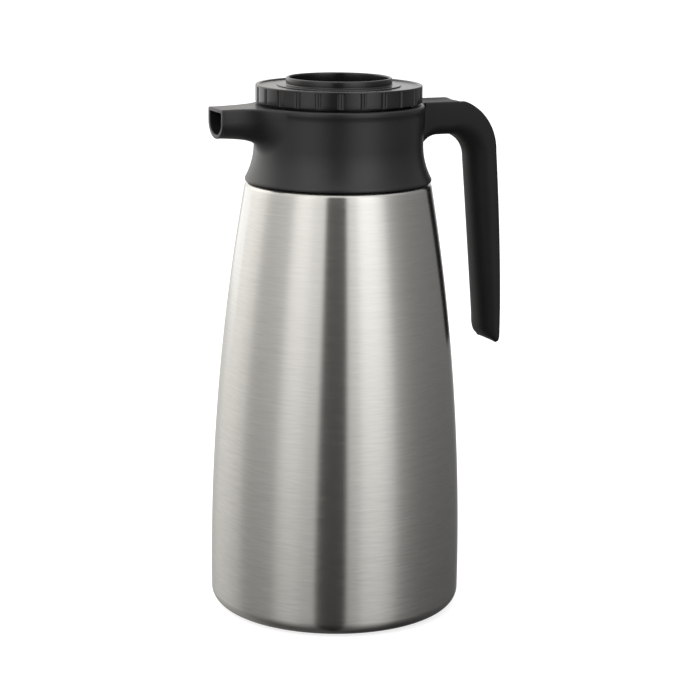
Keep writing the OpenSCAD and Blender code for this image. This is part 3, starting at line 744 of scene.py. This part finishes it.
# Round inner side, upright sides, small corners at the back, with a shallow dish between
# them on the arm's top that fades out in the bend.
def gripRing(station):
    h, t = handleSet, depthOf(station)
    half, rise, spread = h["half"] - station.narrower, riseOf(station), station.spread
    corner = min(h["backRound"], t * h["backShare"])
    dish = 0
    if spread < h["dishSpread"]:
        dish = h["dish"] * max(0, 1 - (station.rise - h["armRise"]) / h["dishFade"])
    inner = [math.radians(7.5 * k) for k in range(13)]
    outer = [math.radians(18 * k) for k in range(6)]
    across = [(half - corner) * (1 - k / 6) for k in range(1, 12)]

    def innerPoint(a, side):
        return onStation(station, side * (half - spread + spread * math.sin(a)), rise - rise * math.cos(a))

    def backPoint(a, side):
        return onStation(station, side * (half - corner + corner * math.cos(a)),
                         t - corner + corner * math.sin(a))

    ring = [innerPoint(a, 1) for a in inner] + [backPoint(a, 1) for a in outer]
    ring += [onStation(station, y, t - dish * (1 - (y / (half - corner)) ** 4)) for y in across]
    return ring + [backPoint(a, -1) for a in reversed(outer)] + [innerPoint(a, -1) for a in reversed(inner)]


def coverRing(station, width):
    full, depth = handleSet["half"] - station.narrower, handleSet["coverDepth"]
    flat = full - station.spread
    edge = [flat + (width - flat) * k / 10 for k in range(11)]
    ring = [onStation(station, y, drawnBack(station, y, full)) for y in edge]
    ring += [onStation(station, width, depth), onStation(station, -width, depth)]
    return ring + [onStation(station, -y, drawnBack(station, y, full)) for y in reversed(edge)]


def boxRing(station, lowHalf, low, highHalf, high):
    return [onStation(station, lowHalf, low), onStation(station, highHalf, high),
            onStation(station, -highHalf, high), onStation(station, -lowHalf, low)]


# Takes a box along the path out of the handle, starting 1 mm before its root.
def hollowOut(name, rings):
    rings[0] = [(x - 1, y, z) for x, y, z in rings[0]]
    combine(handleShell, loftPiece(name, rings), "DIFFERENCE")


path = armStations() + bendStations() + gripStations()
handleShell = loftPiece("handleShell", [gripRing(s) for s in path])
coverHalf, slotDeep = handleSet["coverHalf"], handleSet["coverDepth"] + 0.05
hollowHalf, hollowLow = handleSet["hollowHalf"], handleSet["hollowLow"]
hollowOut("slotSolid", [boxRing(s, coverHalf + 0.1, -1.7, coverHalf, slotDeep) for s in path[:-2]])
hollowOut("hollowSolid", [boxRing(s, hollowHalf, hollowLow, hollowHalf - 0.1, depthOf(s) - handleSet["wall"])
                          for s in path[:-8]])
handleCover = loftPiece("handleCover", [coverRing(s, coverHalf - handleSet["coverGap"]) for s in path[:-2]])
screwHole = ((3.0, 246), (3.0, 250), (1.65, 250), (1.65, 255))  # radius and height
for x in handleSet["screws"]:
    combine(handleCover, loftPiece("screwHole", [
        [(x + r * math.cos(math.radians(a)), r * math.sin(math.radians(a)), z) for a in range(0, 360, 10)]
        for r, z in screwHole]), "DIFFERENCE")

# the arm's root follows the collar's round side: the gap between them shows as a dark line
# above, and closes where the fillet runs in below
rootGap = handleSet["rootGap"]
rootProfile = (
    [(0, 238)] + [(collarSide(z) + rootGap * min(1, max(0.06, (z - 249.5) / 4)), z)
                  for z in (238, 240, 242, 244, 246, 248, 249.5, 251.5, 253.5, 256, 261, 262, 263)]
    + arcPoints(beadCentre, beadHeight, beadRound + rootGap, -20, 10, 4)
    + [(beadCentre + beadRound + rootGap, 270), (0, 270)])
for piece, node in ((handleShell, "handle_shell"), (handleCover, "handle_cover")):
    combine(piece, turnPiece("rootSolid", rootProfile, finishes["grip"], Segments=256), "DIFFERENCE")
    settle(piece, 34, merge=1e-6)
    paint(piece, finishes["grip"])
    place(piece, "carafe", "black", node)
print("carafe: handle made,", len(handleShell.data.polygons), "faces")


# Lid and the ring on it.
lidSet = {"radius": 42.9, "low": 267.6, "top": 276.4, "face": 275.7, "under": 273.5, "hole": 30.2,
          "skirtIn": 40.5, "edge": 0.35, "brim": 0.55, "crest": 1.9, "crestRound": 0.3,
          "dip": 2.4, "dipEnd": 2.75, "seat": 31.8, "seatDeep": 1.1, "seatGap": 0.1,
          "flutes": 24, "fluteDepth": 0.8, "fluteTool": 1.75, "fluteTop": 275.5}
lidRadius, lidLow, lidTop, lidFace = (lidSet[k] for k in ("radius", "low", "top", "face"))
lidEdge, brim, hole, seat = (lidSet[k] for k in ("edge", "brim", "hole", "seat"))
crest, fluteTop = lidSet["crestRound"], lidSet["fluteTop"]
seatFloor, seatSide = lidFace - lidSet["seatDeep"], seat + lidSet["seatGap"]
capProfile = denser(
    [(hole, lidSet["under"]), (lidSet["skirtIn"], lidSet["under"]), (lidSet["skirtIn"], lidLow),
     (lidRadius - lidEdge, lidLow)]
    + arcPoints(lidRadius - lidEdge, lidLow + lidEdge, lidEdge, -60, 0, 3)
    + [(lidRadius, fluteTop - 0.02), (lidRadius, fluteTop + 0.12)]
    + arcPoints(lidRadius - brim, lidTop - brim, brim, 0, 90, 6)
    + arcPoints(lidRadius - lidSet["crest"], lidTop - crest, crest, 90, 150, 3)
    + [(lidRadius - lidSet["dip"], lidFace + 0.12), (lidRadius - lidSet["dipEnd"], lidFace),
       (seatSide, lidFace), (seatSide, seatFloor), (hole, seatFloor), (hole, lidSet["under"])], 2.0)
fluting = {"Grooves": lidSet["flutes"], "Rim Radius": lidRadius * mm,
           "Groove Depth": lidSet["fluteDepth"] * mm, "Groove Tool": lidSet["fluteTool"] * mm,
           "Groove Top": fluteTop * mm}
lidCap = turnPiece("lidCap", capProfile, finishes["lid"], limit=30, Segments=768, **fluting)
place(lidCap, "lid", "black", "lid_cap")

ringSet = {"outer": 27.3, "inner": 25.7, "top": 280.0, "foot": 0.5, "footHigh": 1.1, "seatEdge": 0.4,
           "seatRise": 0.2, "coneTop": 268.0, "coneLow": 254.0, "topWall": 0.8, "lowWall": 1.5,
           "outlet": 6.2, "outletOuter": 8.0, "outletLow": 246.0, "shadeFromTop": 1.4}
ringOut, ringIn, ringTop, coneTop, coneLow = (
    ringSet[k] for k in ("outer", "inner", "top", "coneTop", "coneLow"))
outlet, outletOut, outletLow, ringFoot = (
    ringSet[k] for k in ("outlet", "outletOuter", "outletLow", "foot"))
ringMiddle, ringHalf = (ringOut + ringIn) / 2, (ringOut - ringIn) / 2
ringProfile = denser(
    arcPoints(ringMiddle, ringTop - ringHalf, ringHalf, 180, 0, 14)
    + [(ringOut, lidFace + 1.3)]
    + arcPoints(ringOut + ringFoot, lidFace + ringSet["footHigh"], ringFoot, 180, 270, 5)
    + arcPoints(seat - ringSet["seatEdge"], lidFace + ringSet["seatRise"], ringSet["seatEdge"], 90, 0, 5)
    + [(seat, seatFloor), (ringOut, seatFloor), (ringOut, coneTop - ringSet["topWall"]),
       (outletOut, coneLow - ringSet["lowWall"]), (outletOut, outletLow), (outlet, outletLow),
       (outlet, coneLow), (ringIn, coneTop), (ringIn, ringTop - ringHalf)], 3.0)
brewRing = turnPiece("brewRing", ringProfile, finishes["lid"], limit=30, Segments=192)
# Painted shade: the faces inside the ring's well, below its lip, take the darker black instead of the lid's
# black
brewRing.data.materials.append(finishes["inner"])
for polygon in brewRing.data.polygons:
    centre = polygon.center / mm
    inShadedWell = math.hypot(centre.x, centre.y) < ringIn + 0.2
    if inShadedWell and centre.z < ringTop - ringSet["shadeFromTop"]:
        polygon.material_index = 1
place(brewRing, "lid", "black", "brew_funnel")
print("carafe: lid and brew ring made")


# Finishes on the solids that stay as they are.
kept = {"base_disc": "steel", "vacuum_plug": "liner", "getter": "liner", "retaining_clip": "liner",
        "base_pad": "rubber", "neck_gasket": "rubber", "shoulder_seal": "rubber", "screw_front": "screws",
        "screw_back": "screws", "stopper_sleeve": "black", "funnel_seal": "seal", "sleeve_ring": "seal",
        "valve_cage": "white", "float_ball": "white"}
for name, finish in kept.items():
    paint(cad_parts[name], finishes[finish])
print("carafe: finishes on the carried-over solids")


# Camera, fitted to the photograph.
view = {"heading": 24.0, "distance": 1.05624, "height": 0.3778, "tilt": 12.862, "aside": 0.385,
        "roll": 0.623, "lens": 105.63}
heading = math.radians(view["heading"])
aim = math.radians(view["heading"] + view["aside"])
tilt = math.radians(view["tilt"])
forward = Vector((math.sin(aim) * math.cos(tilt), math.cos(aim) * math.cos(tilt), -math.sin(tilt)))
cameraData = bpy.data.cameras.new("camera")
cameraData.lens, cameraData.sensor_width = view["lens"], 36
cameraData.clip_start, cameraData.clip_end = 0.05, 60
camera = addObject("camera", cameraData)
turned = forward.to_track_quat("-Z", "Y").to_matrix() @ Matrix.Rotation(math.radians(view["roll"]), 3, "Z")
camera.matrix_world = Matrix.Translation((-math.sin(heading) * view["distance"],
                                          -math.cos(heading) * view["distance"],
                                          view["height"])) @ turned.to_4x4()
scene = bpy.context.scene
scene.camera = camera


# Studio: soft panels and dark gaps round the object, by bearing from the camera.
studio = {"bearings": ((-180, 0.84), (-150, 0.98), (-128, 1.24), (-100, 1.00), (-78, 0.61), (-60, 0.67),
                       (-40, 1.10), (-24, 0.90), (-15, 0.86), (-11.5, 0.09), (-6, 0.10), (4, 0.10),
                       (8, 0.07), (11.5, 0.80), (20, 0.90), (34, 1.26), (50, 1.04), (68, 0.44),
                       (90, 0.28), (150, 0.24), (172, 0.78), (180, 0.84)),
          "lean": 4.8, "leanFrom": (5, -18), "leftOf": (-4, 3),
          "low": 0.385, "high": 1.35, "rising": (-24, 12), "underfoot": 0.22, "falling": (-62, -26),
          "overhead": 1.2, "roof": (30, 65), "warm": (1.0, 0.985, 0.945), "cool": (0.985, 0.99, 1.0)}
world = bpy.data.worlds.new("studio")
scene.world = world
world.use_nodes = True
tree = world.node_tree
nodes, links = tree.nodes, tree.links
nodes.clear()
reckon = partial(mathNode, tree)


# Low and high, each reached at its own one of two angles in degrees.
def byAngle(value, low, high, angles):
    return spread(tree, value, low, high, *(math.radians(a) for a in angles))


direction = nodes.new("ShaderNodeMapping")
direction.inputs["Rotation"].default_value = (0, 0, heading)
links.new(nodes.new("ShaderNodeTexCoord").outputs["Generated"], direction.inputs["Vector"])
parts = nodes.new("ShaderNodeSeparateXYZ")
links.new(direction.outputs[0], parts.inputs[0])
# bearing 0 is where the camera stands, positive to its right
bearing = reckon("ARCTAN2", parts.outputs[0], reckon("MULTIPLY", parts.outputs[1], -1))
level = reckon("ARCSINE", parts.outputs[2])
# the dark gap's left edge leans outwards below eye level
leaning = byAngle(level, 0.0, math.radians(studio["lean"]), studio["leanFrom"])
leftOnly = byAngle(bearing, 1.0, 0.0, studio["leftOf"])
sampled = reckon("ADD", bearing, reckon("MULTIPLY", leaning, leftOnly))
share = reckon("ADD", reckon("DIVIDE", sampled, 2 * math.pi), 0.5)

# the panels' light round the room; the curve holds half of it, as it ends at 1
panels = nodes.new("ShaderNodeFloatCurve")
panels.mapping.use_clip = False
points = panels.mapping.curves[0].points
first, *others, last = studio["bearings"]
points[0].location = (0, first[1] / 2)
points[1].location = (1, last[1] / 2)
for angle, strength in others:
    points.new(angle / 360 + 0.5, strength / 2)
for point in points:
    point.handle_type = "AUTO_CLAMPED"
panels.mapping.update()
links.new(share, panels.inputs["Value"])
panelLight = reckon("MULTIPLY", panels.outputs[0], 2)

# brighter above eye level, dark under the object, one soft light overhead
rise = byAngle(level, studio["low"], studio["high"], studio["rising"])
under = byAngle(level, studio["underfoot"], 1.0, studio["falling"])
over = byAngle(level, 0.0, 1.0, studio["roof"])
walls = reckon("MULTIPLY", reckon("MULTIPLY", panelLight, rise), under)
lit = nodes.new("ShaderNodeBackground")
links.new(tint(tree, share, studio["warm"], studio["cool"]), lit.inputs["Color"])
links.new(average(tree, walls, studio["overhead"], over), lit.inputs["Strength"])
plain = nodes.new("ShaderNodeBackground")  # what the camera itself sees
plain.inputs["Color"].default_value = (1, 1, 1, 1)
plain.inputs["Strength"].default_value = 1.0
choice = nodes.new("ShaderNodeMixShader")
links.new(nodes.new("ShaderNodeLightPath").outputs["Is Camera Ray"], choice.inputs[0])
links.new(lit.outputs[0], choice.inputs[1])
links.new(plain.outputs[0], choice.inputs[2])
links.new(choice.outputs[0], nodes.new("ShaderNodeOutputWorld").inputs[0])


def flatPanel(name, corners):
    mesh = bpy.data.meshes.new(name)
    mesh.from_pydata(corners, [], [(0, 1, 2, 3)])
    return addObject(name, mesh)


# A material without its Principled shader, and the output it needs one for.
def bareMaterial(name):
    material = bpy.data.materials.new(name)
    material.use_nodes = True
    tree = material.node_tree
    tree.nodes.remove(tree.nodes["Principled BSDF"])
    return material, tree, tree.nodes["Material Output"].inputs[0]


# White floor, a hair under the object, that keeps its shadow.
floorSet = {"half": 9, "drop": 0.0002, "grey": 0.5, "glow": 0.74}
near, far = -floorSet["half"], floorSet["half"]
floor = flatPanel("floor", [(near, near, 0), (far, near, 0), (far, far, 0), (near, far, 0)])
floor.location.z = -floorSet["drop"]
floor.visible_glossy = False
floorMaterial, floorTree, floorSurface = bareMaterial("floorWhite")
diffuse = floorTree.nodes.new("ShaderNodeBsdfDiffuse")
diffuse.inputs["Color"].default_value = (*(floorSet["grey"],) * 3, 1)
glow = floorTree.nodes.new("ShaderNodeEmission")
seen = floorTree.nodes.new("ShaderNodeLightPath").outputs["Is Camera Ray"]
floorTree.links.new(spread(floorTree, seen, 0.0, floorSet["glow"], 0, 1), glow.inputs["Strength"])
both = floorTree.nodes.new("ShaderNodeAddShader")
floorTree.links.new(diffuse.outputs[0], both.inputs[0])
floorTree.links.new(glow.outputs[0], both.inputs[1])
floorTree.links.new(both.outputs[0], floorSurface)
floor.data.materials.append(floorMaterial)

# A low white card behind on the left, for the spout's mouth and the lid's edge.
cardSet = {"heading": 106, "away": 1.0, "half": 0.25, "low": 0.05, "high": 0.28, "strength": 1.4}
away, half, cardHeading = cardSet["away"], cardSet["half"], math.radians(cardSet["heading"])
aheadX, aheadY = math.cos(cardHeading), math.sin(cardHeading)
card = flatPanel("card", [(away * aheadX + side * half * aheadY, away * aheadY - side * half * aheadX,
                           cardSet[edge])
                          for side, edge in ((-1, "low"), (1, "low"), (1, "high"), (-1, "high"))])
card.visible_camera = card.visible_diffuse = card.visible_shadow = False
cardMaterial, cardTree, cardSurface = bareMaterial("cardWhite")
cardGlow = cardTree.nodes.new("ShaderNodeEmission")
cardGlow.inputs["Strength"].default_value = cardSet["strength"]
cardTree.links.new(cardGlow.outputs[0], cardSurface)
card.data.materials.append(cardMaterial)


def softLamp(name, position, target, size, power, colour):
    data = bpy.data.lights.new(name, "AREA")
    data.shape, data.size, data.energy, data.color = "DISK", size, power, colour
    lamp = addObject(name, data)
    lamp.location = position
    lamp.rotation_euler = (Vector(target) - Vector(position)).to_track_quat("-Z", "Y").to_euler()
    lamp.visible_glossy = False


lamps = {"lampLeft": {"position": (-1.6, -0.6, 1.3), "target": (0, 0, 0.15), "size": 0.9, "power": 9,
                      "colour": (1, 0.985, 0.95)},
         "lampAbove": {"position": (0.2, 0.1, 1.9), "target": (0, 0, 0.1), "size": 1.1, "power": 6,
                       "colour": (1, 1, 1)}}
for name, values in lamps.items():
    softLamp(name, **values)
scene.view_settings.view_transform = "Standard"
print("carafe: camera and studio set")
